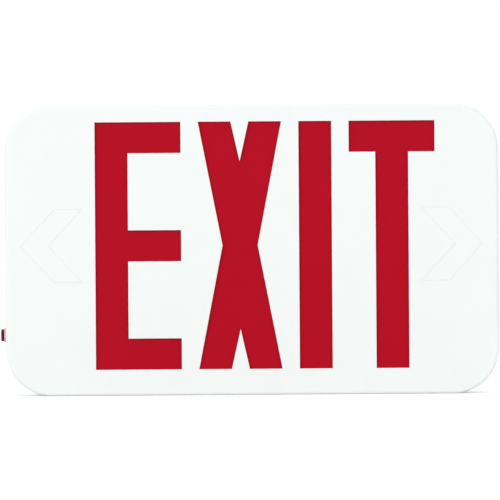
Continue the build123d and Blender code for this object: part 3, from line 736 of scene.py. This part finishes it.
def cover_bosses():
    """Peg sockets in the corners and the heat-staked posts that hold the lens."""
    socket = [
        (4.0, plate_back),
        (4.0, skirt_back + 0.3),
        (3.7, skirt_back),
        (2.8, skirt_back),
        (2.5, skirt_back + 0.3),
        (2.5, skirt_back + 10.0),
    ]
    stake = [
        (1.5, plate_back),
        (1.5, plate_back - 1.5),
        (2.3, plate_back - 1.55),
        (2.3, plate_back - 1.8),
        (2.05, plate_back - 2.15),
        (1.3, plate_back - 2.3),
    ]
    bm = bmesh.new()
    for side in (1, -1):
        for x in (peg_x, -peg_x):
            lathe(bm, socket, at(x, 0, side * peg_z))
        for x in stake_xs:
            lathe(bm, stake, at(x, 0, side * stake_z))
    finish_mesh("cover_bosses", bm, mat_case, "front")


front_cover()
cover_bosses()


# Places on the driver board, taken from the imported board
board_low, board_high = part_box("driver_board")
board_x = board_low.x / MM
board_z = board_low.z / MM
board_front = -board_low.y / MM
board_h = (board_high.z - board_low.z) / MM
board_w = (board_high.x - board_low.x) / MM


def on_board(u, v, up=0.0):
    """A point over the driver board, from its lower left corner, in metres."""
    return at(board_x + u, board_front + up, board_z + v)


def wires(name, routes, diameter, material, replaced=()):
    """Round wires, each a smooth spline through its route's control points."""
    curve = bpy.data.curves.new(name, "CURVE")
    curve.dimensions = "3D"
    curve.bevel_depth = diameter / 2 * MM
    curve.bevel_resolution = 3
    curve.resolution_u = 6
    curve.use_fill_caps = True
    for route in routes:
        spline = curve.splines.new("NURBS")
        spline.points.add(len(route) - 1)
        for point, where in zip(spline.points, route):
            point.co = (*where, 1.0)
        spline.use_endpoint_u = True
        spline.order_u = 3
    curve.materials.append(material)
    made = linked(name, curve)
    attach(made, "case")
    if replaced:
        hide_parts(*replaced)


def cuboid(bm, first, second, material, edge):
    """A box between two corners in metres, its edges bevelled, with a material index."""
    xs, ys, zs = [sorted(pair) for pair in zip(first, second)]
    corners = [(x, y, z) for x in xs for y in ys for z in zs]
    made = [bm.verts.new(corner) for corner in corners]
    sides = [(0, 1, 3, 2), (4, 6, 7, 5), (0, 4, 5, 1), (2, 3, 7, 6), (0, 2, 6, 4), (1, 5, 7, 3)]
    faces = [bm.faces.new([made[index] for index in side]) for side in sides]
    for face in faces:
        face.material_index = material
    edges = {e for face in faces for e in face.edges}
    result = bmesh.ops.bevel(
        bm, geom=list(edges), offset=edge * MM, segments=2, profile=0.6, affect="EDGES"
    )
    for face in result["faces"]:
        face.material_index = material


def board_box(bm, u0, u1, v0, v1, up0, up1, material, edge):
    """A box over the driver board."""
    cuboid(bm, on_board(u0, v0, up0), on_board(u1, v1, up1), material, edge)


def flat_mark(bm, corners, up0, up1, material):
    """A thin closed plate over an outline on the board."""
    low = ring(bm, [on_board(u, v, up0) for u, v in corners])
    high = ring(bm, [on_board(u, v, up1) for u, v in corners])
    for face in bridge(bm, low, high) + [bm.faces.new(low), bm.faces.new(high)]:
        face.material_index = material


# Leads: round pairs where the solids have one flat twin lead
lead_d = 1.8
lead_side = 0.95
lead_out = 3.6
lead_bow = 6.0
plug_low, plug_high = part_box("battery_plug")
pack_low, pack_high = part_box("battery_pack")


def lead_pair(name, node, route, side):
    """A red and a black lead along a route, moved apart along a direction."""
    red, black = [[point + Vector(side) * s * lead_side * MM for point in route] for s in (1, -1)]
    wires(name + "_red", [red], lead_d, mat_lead_red, [node])
    wires(name + "_black", [black], lead_d, mat_lead_black, [node])


def battery_route():
    """From the pack's end, through the clips, to the plug on the board."""
    z = (plug_low.z + plug_high.z) / 2 / MM
    pack_end = pack_low.x / MM
    pack_out = -(pack_low.y + pack_high.y) / 2 / MM
    plug_end = plug_high.x / MM
    plug_out = -(plug_low.y + plug_high.y) / 2 / MM
    return [
        at(pack_end + 1, pack_out, z),
        at(pack_end - 9, pack_out, z),
        at(pack_end - 21, lead_out, z),
        at(plug_end + 19, lead_out, z),
        at(plug_end + 9, plug_out, z),
        at(plug_end - 1, plug_out, z),
    ]


strip_low, strip_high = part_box("led_board_upper")
pad_z = strip_low.z / MM - lead_d / 2
strip_out = -strip_high.y / MM


def upper_route(u, v):
    """Off the board, up along the back of the case and onto the upper strip."""
    x = board_x + u
    z = board_z + v
    return [
        at(x, board_front, z),
        at(x, board_front + lead_bow, z),
        at(x, board_front + lead_bow, z + 13),
        at(x, lead_out, z + 29),
        at(x, lead_out, pad_z - 18),
        at(x, strip_out - 5, pad_z),
        at(x, strip_out + 4, pad_z),
    ]


def lower_route(u, v):
    """Off the board and down onto the lower strip."""
    x = board_x + u
    z = board_z + v
    bow = board_front + lead_bow - 0.5
    return [
        at(x, board_front, z),
        at(x, bow, z),
        at(x, bow, -pad_z),
        at(x, bow + 6, -pad_z),
    ]


upper_lead = (board_w - 12.5, board_h - 3.0)
lower_lead = (71.5, 1.8)
lead_pair("battery_lead", "battery_leads", battery_route(), (0, 0, 1))
lead_pair("upper_strip_lead", "upper_led_leads", upper_route(*upper_lead), (1, 0, 0))
lead_pair("lower_strip_lead", "lower_led_leads", lower_route(*lower_lead), (1, 0, 0))


# Electrolytic capacitors: sleeved cans with a rolled rim, and a vent whose scored lines are dark
# strips of painted shade
# Each place is (u, v, radius, height), where u is across the board and v is up it
can_places = [(60.0, 44.0, 5.0, 16.0), (60.0, 33.0, 5.0, 16.0), (73.0, 47.0, 4.0, 12.0)]
stripe_turns = [math.radians(200 + step * 10) for step in range(7)]


def capacitor_cans():
    """Each can with its pale stripe, and the lines of its vent as thin dark strips of painted shade.
    """
    bm = bmesh.new()
    for u, v, r, height in can_places:
        base = on_board(u, v)
        profile = [
            (r * 0.96, 0.0),
            (r, 0.4),
            (r, 1.5),
            (r * 0.93, 2.1),
            (r * 0.93, 2.4),
            (r, 3.0),
            (r, height - 0.7),
            (r * 0.97, height - 0.25),
            (r * 0.9, height - 0.02),
            (r * 0.8, height - 0.04),
            (r * 0.78, height - 0.3),
        ]
        lathe(bm, profile, base, 40, len(profile) - 2)
        before = set(bm.faces)
        shells = []
        for radius in (r + 0.02, r - 0.02):
            low_row = ring(bm, [turned(base, radius, turn, 3.3) for turn in stripe_turns])
            high_row = ring(bm, [turned(base, radius, turn, height - 1.2) for turn in stripe_turns])
            for corners in zip(low_row, low_row[1:], high_row[1:], high_row):
                bm.faces.new(corners)
            shells.append(low_row + high_row[::-1])
        bridge(bm, *shells)
        for face in set(bm.faces) - before:
            face.material_index = 2
        # The vent's score lines are thin near-black strips over the aluminium top: painted shade in
        # place of the grooves
        for turn in (0, 60, 120):
            across = math.cos(math.radians(turn))
            upwards = math.sin(math.radians(turn))
            reach = r * 0.6
            corners = []
            for s, w in ((-1, 0.12), (-1, -0.12), (1, -0.12), (1, 0.12)):
                du = s * reach * across - w * upwards
                dv = s * reach * upwards + w * across
                corners.append((u + du, v + dv))
            flat_mark(bm, corners, height - 0.32, height - 0.28, 3)
    materials = [mat_sleeve, mat_sink, mat_silk, mat_diode]
    cans = finish_mesh("capacitor_cans", bm, materials, "case")
    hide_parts("electrolytic_capacitors")


capacitor_cans()


# Parts that lie on bent wires: resistors, diodes and the fuse
resistor_u = 60.0
resistor_vs = (19.5, 23.0, 26.5)
resistor_length = 6.3
diode_us = [45.0 + 3.5 * index for index in range(4)]
diode_v = 9.5
fuse_place = (79.0, 15.0)
pin_reach = 4.6
pin_d = 0.6
pin_routes = []
solder_places = []


def lying_part(bm, u, v, profile, length, lift, along_u, bands):
    """A round body turned from (share of length, radius); bands are (from, to, material)."""
    marks = sorted({share for share, _ in profile} | {m for band in bands for m in band[:2]})
    points = []
    for share in marks:
        for (s0, r0), (s1, r1) in zip(profile, profile[1:]):
            if s0 <= share <= s1:
                part = 0 if s1 == s0 else (share - s0) / (s1 - s0)
                points.append((r0 + (r1 - r0) * part, share))
                break
    loops = []
    for radius, share in points:
        along = (share - 0.5) * length
        loop = []
        for across, up in circle(0, lift, radius, 20):
            spot = (u + along, v + across) if along_u else (u + across, v + along)
            loop.append(bm.verts.new(on_board(*spot, up)))
        loops.append(loop)
    for index, band_faces in enumerate(skin(bm, loops)):
        middle = (points[index][1] + points[index + 1][1]) / 2
        for start, end, material in bands:
            if start <= middle <= end:
                for face in band_faces:
                    face.material_index = material
    bm.faces.new(loops[0])
    bm.faces.new(loops[-1])
    for s in (1, -1):
        tip = s * (length + pin_reach) / 2
        mouth = s * (length / 2 - 0.2)
        knee = [(mouth, lift), (tip - s * 0.9, lift), (tip, lift), (tip, lift - 0.9), (tip, 0.0)]
        if along_u:
            pin_routes.append([on_board(u + a, v, up) for a, up in knee])
            solder_places.append((u + tip, v))
        else:
            pin_routes.append([on_board(u, v + a, up) for a, up in knee])
            solder_places.append((u, v + tip))


def resistor_bodies():
    """Bulged ends, a straight middle and four colour bands."""
    colours = [(0.16, 0.045, 0.015), (0.012, 0.012, 0.012), (0.62, 0.18, 0.02), (0.45, 0.30, 0.07)]
    bands = [plastic("band_%d" % i, c, 0.35, 900.0) for i, c in enumerate(colours)]
    profile = [(0.0, 0.5), (0.04, 1.0), (0.1, 1.2), (0.24, 1.2), (0.32, 1.0), (0.68, 1.0),
               (0.76, 1.2), (0.9, 1.2), (0.96, 1.0), (1.0, 0.5)]
    marks = [(0.13, 0.2, 1), (0.34, 0.41, 2), (0.48, 0.55, 3), (0.8, 0.87, 4)]
    bm = bmesh.new()
    for v in resistor_vs:
        lying_part(bm, resistor_u, v, profile, resistor_length, 1.5, True, marks)
    made = finish_mesh("resistor_bodies", bm, [mat_resistor] + bands, "case")
    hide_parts("resistors")


def diode_bodies():
    """Black bodies, each with a pale band at one end."""
    profile = [(0.0, 1.05), (0.04, 1.3), (0.96, 1.3), (1.0, 1.05)]
    bm = bmesh.new()
    for u in diode_us:
        lying_part(bm, u, diode_v, profile, 5.2, 1.6, False, [(0.74, 0.86, 1)])
    made = finish_mesh("diode_bodies", bm, [mat_diode, mat_silk], "case")
    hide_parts("rectifier_diodes")


def fuse_part():
    """A body between two tinned caps."""
    profile = [(0.0, 1.1), (0.05, 1.5), (0.2, 1.5), (0.24, 1.38), (0.76, 1.38), (0.8, 1.5),
               (0.95, 1.5), (1.0, 1.1)]
    bm = bmesh.new()
    caps = [(0.0, 0.22, 1), (0.78, 1.0, 1)]
    lying_part(bm, *fuse_place, profile, 8.0, 1.8, False, caps)
    made = finish_mesh("fuse_part", bm, [mat_fuse, mat_tin], "case")
    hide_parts("fuse")


resistor_bodies()
diode_bodies()
fuse_part()
wires("component_pins", pin_routes, pin_d, mat_tin)


# Chip, transistor and small surface parts
chip_half_w = 4.8
chip_gap = 2.4
chip_u = resistor_u + (resistor_length + pin_reach + pin_d) / 2 + chip_gap + chip_half_w
chip_v = 24.0
chip_top = 3.4
leg_pitch = 2.54
surface_places = [(11.5, 27.0), (11.5, 31.0), (11.5, 35.0), (7.0, 35.0), (7.0, 39.0), (11.5, 43.0)]


def chip_part():
    """Dual in-line package: moulded body, a notch and a dot at one end, shouldered legs."""
    u = chip_u
    v = chip_v
    bm = bmesh.new()
    board_box(bm, u - chip_half_w, u + chip_half_w, v - 3.1, v + 3.1, 0.5, chip_top, 0, 0.25)
    for index in range(4):
        leg = u + (index - 1.5) * leg_pitch
        for s in (1, -1):
            far = v + s * 3.75
            board_box(bm, leg - 0.6, leg + 0.6, v + s * 3.05, far, 1.35, 1.75, 1, 0.08)
            board_box(bm, leg - 0.5, leg + 0.5, v + s * 3.45, far, 0.9, 1.5, 1, 0.08)
            board_box(bm, leg - 0.25, leg + 0.25, v + s * 3.45, far, 0.0, 0.95, 1, 0.05)
            solder_places.append((leg, v + s * 3.6))
    notch = []
    for step in range(13):
        a = math.radians(-90 + 15 * step)
        notch.append((u - 4.5 + 0.8 * math.cos(a), v + 0.8 * math.sin(a)))
    for mark in (notch, circle(u - 3.6, v - 2.1, 0.3, 16)):
        flat_mark(bm, mark, chip_top - 0.03, chip_top + 0.01, 2)
    made = finish_mesh("chip_part", bm, [mat_chip, mat_tin, mat_diode], "case")
    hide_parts("control_chip")


def transistor_part():
    """Moulded body on a tinned tab, on three legs."""
    u = 73.0
    v = 36.0
    bm = bmesh.new()
    board_box(bm, u - 5.0, u + 5.0, v - 4.4, v - 1.3, 3.0, 12.0, 0, 0.3)
    sides = ((5.0, 3.0), (5.0, 14.2), (3.6, 16.0), (3.6, 17.0))
    tab = [(u - half, up) for half, up in sides[::-1]] + [(u + half, up) for half, up in sides]
    hole = circle(u, 14.0, 1.8, 20)
    rims = []
    for tab_v in (v - 1.3, v):
        outer = ring(bm, [on_board(a, tab_v, up) for a, up in tab])
        inner = ring(bm, [on_board(a, tab_v, up) for a, up in hole])
        rims.append((outer, inner))
    before = set(bm.faces)
    bridge(bm, rims[0][0], rims[1][0])
    bridge(bm, rims[0][1], rims[1][1])
    for outer, inner in rims:
        fill_plane(bm, [outer, inner], (0, 0, 1))
    for face in set(bm.faces) - before:
        face.material_index = 1
    for index in (-1, 0, 1):
        leg = u + index * leg_pitch
        board_box(bm, leg - 0.65, leg + 0.65, v - 2.6, v - 2.1, 1.6, 3.1, 1, 0.06)
        board_box(bm, leg - 0.4, leg + 0.4, v - 2.6, v - 2.1, 0.0, 1.7, 1, 0.06)
        solder_places.append((leg, v - 2.35))
    made = finish_mesh("transistor_part", bm, [mat_chip, mat_tin], "case")
    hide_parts("power_transistor")


def surface_parts():
    """Small chip resistors and capacitors with tinned ends, beside the transformer."""
    bm = bmesh.new()
    for index, (u, v) in enumerate(surface_places):
        body = index % 2
        board_box(bm, u - 0.75, u + 0.75, v - 0.62, v + 0.62, 0.02, 0.55, body, 0.05)
        for s in (1, -1):
            board_box(bm, u + s * 0.7, u + s * 1.0, v - 0.64, v + 0.64, 0.01, 0.58, 2, 0.05)
            board_box(bm, u + s * 0.9, u + s * 1.5, v - 0.7, v + 0.7, 0.0, 0.12, 2, 0.04)
    finish_mesh("surface_parts", bm, [mat_chip, mat_resistor, mat_tin], "case")


chip_part()
transistor_part()
surface_parts()
for lead_u, lead_v in (upper_lead, lower_lead):
    solder_places.extend([(lead_u - lead_side, lead_v), (lead_u + lead_side, lead_v)])


def solder_joints():
    """A bright fillet round each pin, and bare test pads."""
    joint = [(0.95, 0.0), (0.9, 0.08), (0.62, 0.2), (0.42, 0.45), (0.34, 0.7), (0.3, 0.72)]
    pad = [(0.9, 0.0), (0.88, 0.05), (0.45, 0.06), (0.4, 0.01)]
    pad_places = [(10.0, 47.5), (13.0, 47.5), (16.0, 50.0), (20.0, 51.5), (30.0, 51.5), (53.5, 50.0)]
    bm = bmesh.new()
    for place_on in solder_places:
        lathe(bm, joint, on_board(*place_on), 16)
    for place_on in pad_places:
        lathe(bm, pad, on_board(*place_on), 20)
    finish_mesh("solder_joints", bm, mat_tin, "case")


# Printed boxes round the transformer, film capacitor, relay, chip and terminal block,
# each as (u, v) of its middle and half its width and height
printed_boxes = [
    (34.0, 34.0, 18.7, 15.7),
    (33.0, 9.0, 9.6, 4.3),
    (66.5, 10.0, 8.6, 6.0),
    (73.0, chip_v, 5.4, 3.6),
    (86.2, 30.0, 5.6, 8.1),
]


def silk_outlines():
    """Thin printed outlines round the components, with no lettering."""
    bm = bmesh.new()
    up = 0.03
    line = 0.18

    def strip(corners):
        """A line just inside an outline."""
        inside = offset_outline(corners, -line)
        loops = []
        for points, level in ((corners, 0.0), (corners, up), (inside, up), (inside, 0.0)):
            loops.append(ring(bm, [on_board(u, v, level) for u, v in points]))
        for index, loop in enumerate(loops):
            bridge(bm, loops[index - 1], loop)

    def rect(u, v, half_u, half_v):
        """A box round a middle."""
        u0, u1, v0, v1 = u - half_u, u + half_u, v - half_v, v + half_v
        strip([(u0, v0), (u1, v0), (u1, v1), (u0, v1)])

    for u, v, r, _ in can_places:
        strip(circle(u, v, r + 0.45, 40))
    for v in resistor_vs:
        rect(resistor_u, v, 3.7, 1.45)
    for u in diode_us:
        rect(u, diode_v, 1.55, 3.2)
    for u, v in surface_places:
        rect(u, v, 1.9, 1.0)
    for u, v, half_u, half_v in printed_boxes:
        rect(u, v, half_u, half_v)
    finish_mesh("silk_outlines", bm, mat_silk, "case")


solder_joints()
silk_outlines()


# Battery: three cells drawn into one sleeve, its ends folded over them
def battery_sleeve():
    """The cells' rounded outline, drawn from end to end, with a little dip between cells."""
    cells = 3
    cell_r = (pack_high.z - pack_low.z) / MM / cells / 2
    mid_out = -(pack_low.y + pack_high.y) / 2 / MM
    mid_z = (pack_low.z + pack_high.z) / 2 / MM
    waist = 12.3 / 2

    def section(inset):
        """The outline drawn in by an amount, without its sides crossing."""
        upper = []
        for index in range(cells):
            centre = (index - (cells - 1) / 2) * cell_r * 2
            for step in range(1 if index else 0, 25):
                a = math.radians(180 - 7.5 * step)
                out = cell_r * math.sin(a)
                z = centre + cell_r * math.cos(a)
                if abs(z) < cell_r * (cells - 1):
                    out = max(out, waist)
                upper.append((out * (1 - inset / cell_r), z * (1 - inset / (cell_r * cells))))
        lower = [(-out, z) for out, z in reversed(upper[1:-1])]
        return upper + lower

    x0 = pack_low.x / MM
    x1 = pack_high.x / MM
    stations = [(x0 + 0.05, 3.2), (x0, 2.0), (x0, 1.2), (x0 + 0.35, 0.35), (x0 + 1.0, 0.05),
                (x0 + 2.5, 0.0), (x1 - 2.5, 0.0), (x1 - 1.0, 0.05), (x1 - 0.35, 0.35),
                (x1, 1.2), (x1, 2.0), (x1 - 0.05, 3.2)]
    bm = bmesh.new()
    loops = []
    for x, inset in stations:
        loops.append(ring(bm, [at(x, mid_out + out, mid_z + z) for out, z in section(inset)]))
    skin(bm, loops)
    bm.faces.new(loops[0])
    bm.faces.new(loops[-1])
    made = finish_mesh("battery_sleeve", bm, mat_battery, "case", 50.0)
    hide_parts("battery_pack")


battery_sleeve()


# Lighting strips: phosphor in each diode, tinned pads beside it and resistors between
led_count = 10
led_h = 1.9
led_dish = 0.22
strip_end = 19.0
lead_clear = 5.0


def strip_details(side):
    """Details of the upper strip, side 1, or the lower one, side -1."""
    name = "upper" if side > 0 else "lower"
    low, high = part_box("led_board_" + name)
    length = (high.x - low.x) / MM
    pitch = (length - 2 * strip_end) / (led_count - 1)
    out = -(low.y + high.y) / 2 / MM
    seat = (low.z if side > 0 else high.z) / MM
    level = seat - side * (led_h - led_dish)
    lead_xs = (board_x + upper_lead[0], board_x + lower_lead[0])
    bm = bmesh.new()
    for index in range(led_count):
        x = (index - (led_count - 1) / 2) * pitch
        rows = []
        for inset, drop in ((0.0, 0.12), (0.0, 0.0), (0.3, 0.05), (0.8, 0.07)):
            wide = 1.25 - inset
            deep = 0.9 - inset
            corners = [(-wide, -deep), (wide, -deep), (wide, deep), (-wide, deep)]
            rows.append(ring(bm, [at(x + a, out + b, level + side * drop) for a, b in corners]))
        skin(bm, rows)
        bm.faces.new(rows[0])
        bm.faces.new(rows[-1])
        for s in (1, -1):
            corner = at(x + s * 2.6, out - 1.1, seat - side * 0.12)
            cuboid(bm, at(x + s * 1.6, out + 1.1, seat), corner, 1, 0.04)
        mid = x + pitch / 2
        if index < led_count - 1 and all(abs(mid - lead_x) > lead_clear for lead_x in lead_xs):
            top = seat - side * 0.5
            cuboid(bm, at(mid - 0.7, out + 0.6, seat), at(mid + 0.7, out - 0.6, top), 2, 0.05)
            for s in (1, -1):
                corner = at(mid + s * 1.0, out - 0.62, top)
                cuboid(bm, at(mid + s * 0.65, out + 0.62, seat), corner, 1, 0.04)
    materials = [mat_phosphor, mat_tin, mat_chip]
    finish_mesh("strip_details_" + name, bm, materials, "case")


strip_details(1)
strip_details(-1)


# Stage: pale floor, white world and soft lamps, in metres
ambient = 0.65
floor_size = 2.5
floor_grey = 0.82
floor_glow_near = 0.34
floor_glow_far = 0.50
glow_starts = 0.25
glow_ends = 1.1


def combine(tree, operation, first, second):
    """A Math node on two values."""
    node = tree.nodes.new("ShaderNodeMath")
    node.operation = operation
    tree.links.new(first, node.inputs[0])
    tree.links.new(second, node.inputs[1])
    return node.outputs[0]


def floor_material():
    """Pale floor that shows white further from the case, and keeps the case's shadow."""
    made = bpy.data.materials.new("floor")
    tree = empty_tree(made)
    output = tree.nodes.new("ShaderNodeOutputMaterial")
    diffuse = tree.nodes.new("ShaderNodeBsdfDiffuse")
    diffuse.inputs["Color"].default_value = (floor_grey, floor_grey, floor_grey, 1.0)
    distance = tree.nodes.new("ShaderNodeVectorMath")
    distance.operation = "LENGTH"
    tree.links.new(place(tree), distance.inputs[0])
    level = tree.nodes.new("ShaderNodeMapRange")
    level.inputs["From Min"].default_value = glow_starts
    level.inputs["From Max"].default_value = glow_ends
    level.inputs["To Min"].default_value = floor_glow_near
    level.inputs["To Max"].default_value = floor_glow_far
    tree.links.new(distance.outputs["Value"], level.inputs["Value"])
    path = tree.nodes.new("ShaderNodeLightPath")
    seen = path.outputs["Is Camera Ray"]
    for ray in ("Is Glossy Ray", "Is Transmission Ray"):
        seen = combine(tree, "MAXIMUM", seen, path.outputs[ray])
    strength = combine(tree, "MULTIPLY", seen, level.outputs["Result"])
    glow = tree.nodes.new("ShaderNodeEmission")
    tree.links.new(strength, glow.inputs["Strength"])
    added = tree.nodes.new("ShaderNodeAddShader")
    tree.links.new(diffuse.outputs[0], added.inputs[0])
    tree.links.new(glow.outputs[0], added.inputs[1])
    tree.links.new(added.outputs[0], output.inputs["Surface"])
    return made


def floor():
    """A wide square under the case."""
    bm = bmesh.new()
    size = floor_size
    level = -half_h * MM
    corners = [(-size, -size), (size, -size), (size, size), (-size, size)]
    bm.faces.new([bm.verts.new((x, y, level)) for x, y in corners])
    mesh = bpy.data.meshes.new("floor")
    bm.to_mesh(mesh)
    bm.free()
    mesh.materials.append(floor_material())
    linked("floor", mesh)


def world():
    """White all round, and weaker where it lights the surfaces."""
    made = bpy.data.worlds.new("world")
    scene.world = made
    tree = empty_tree(made)
    output = tree.nodes.new("ShaderNodeOutputWorld")
    back = tree.nodes.new("ShaderNodeBackground")
    back.inputs["Color"].default_value = (1.0, 1.0, 1.0, 1.0)
    path = tree.nodes.new("ShaderNodeLightPath")
    level = tree.nodes.new("ShaderNodeMapRange")
    level.inputs["To Min"].default_value = 1.0
    level.inputs["To Max"].default_value = ambient
    tree.links.new(path.outputs["Is Diffuse Ray"], level.inputs["Value"])
    tree.links.new(level.outputs["Result"], back.inputs["Strength"])
    tree.links.new(back.outputs[0], output.inputs["Surface"])


def lamp(name, where, aim, size, power):
    """A soft lamp of a width and height, aimed at a point."""
    data = bpy.data.lights.new(name, "AREA")
    data.shape = "RECTANGLE"
    data.size, data.size_y = size
    data.energy = power
    made = linked(name, data)
    made.location = where
    made.rotation_mode = "QUATERNION"
    made.rotation_quaternion = (Vector(aim) - Vector(where)).to_track_quat("-Z", "Y")


floor()
world()
lamp("key", (-2.6, -3.6, 1.3), (0, 0, 0), (2.4, 2.0), 64.0)
lamp("fill", (3.0, -3.2, 1.1), (0, 0, 0), (2.6, 1.8), 23.0)
lamp("rear", (0.3, 2.2, 1.5), (0, 0, 0), (2.0, 2.0), 22.0)
lamp("top", (0, -0.6, 2.4), (0, 0, 0), (2.0, 1.0), 5.0)
